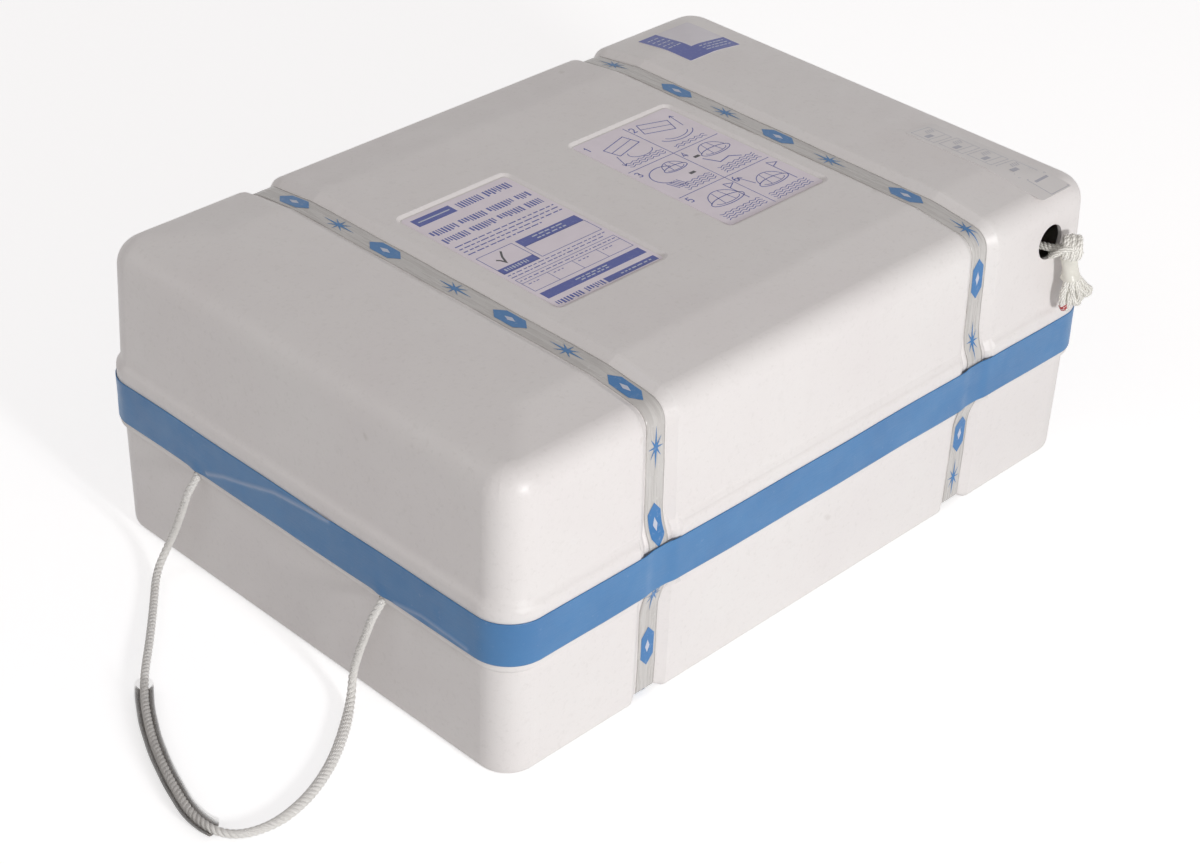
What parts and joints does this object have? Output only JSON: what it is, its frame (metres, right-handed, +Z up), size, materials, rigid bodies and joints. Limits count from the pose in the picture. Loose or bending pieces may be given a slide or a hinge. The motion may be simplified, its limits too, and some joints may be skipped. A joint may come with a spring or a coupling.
{
  "type": "liferaft canister",
  "caption": "White two-part moulded liferaft canister, taped shut round its flange, with a rope handle at one end and a painter at the other.",
  "frame": {"origin": "under the centre of the casing, on the surface it stands on", "axes": "+Z up; +X along the length, towards the end with the painter's hole; the rope handle is on the -X end; -Y is the long side with the painter's hole"},
  "size_m": [0.9617, 0.5498, 0.2984],
  "materials": {
    "shell": "white glass-reinforced plastic, satin, finely grained",
    "gasket": "closed-cell rubber strip",
    "seam_tape": "blue adhesive tape, smooth",
    "strap_tape": "clear adhesive tape over the shell, printed with a small blue pattern",
    "label": "coated label with blue printed fields",
    "rope": "white three-strand synthetic rope",
    "grip": "clear soft hose, slightly hazy",
    "painter": "white braided cord",
    "whipping": "pale wrapped adhesive tape",
    "cylinder": "grey painted steel",
    "webbing": "black woven webbing",
    "valve": "machined brass",
    "hose": "black rubber hose",
    "inlet": "black moulded plastic",
    "cable": "stranded steel",
    "raft": "orange coated fabric",
    "bag": "yellow coated fabric",
    "bellows": "pleated rubber",
    "paddle": "orange moulded plastic"
  },
  "bodies": {
    "root": {"upper_shell": "shell", "lower_shell": "shell", "seam_gasket": "gasket", "seam_tape": "seam_tape", "strap_tape_left": "strap_tape", "strap_tape_right": "strap_tape", "data_label": "label", "instruction_label": "label", "corner_label": "label", "strip_label": "label", "handle_rope": "rope", "handle_knot_back": "rope", "handle_knot_front": "rope", "handle_grip": "grip", "painter_line": "painter", "painter_knot": "painter", "painter_whipping": "whipping", "painter_tail": "painter", "painter_coil": "painter", "gas_cylinder": "cylinder", "cylinder_strap_left": "webbing", "cylinder_strap_middle": "webbing", "cylinder_strap_right": "webbing", "inflation_valve": "valve", "inflation_hose": "hose", "raft_inlet_valve": "inlet", "firing_cable": "cable", "raft_pack": "raft", "sea_anchor_bag": "bag", "emergency_bag": "bag", "bellows_pump": "bellows", "paddle_left": "paddle", "paddle_right": "paddle"}
  },
  "joints": []
}
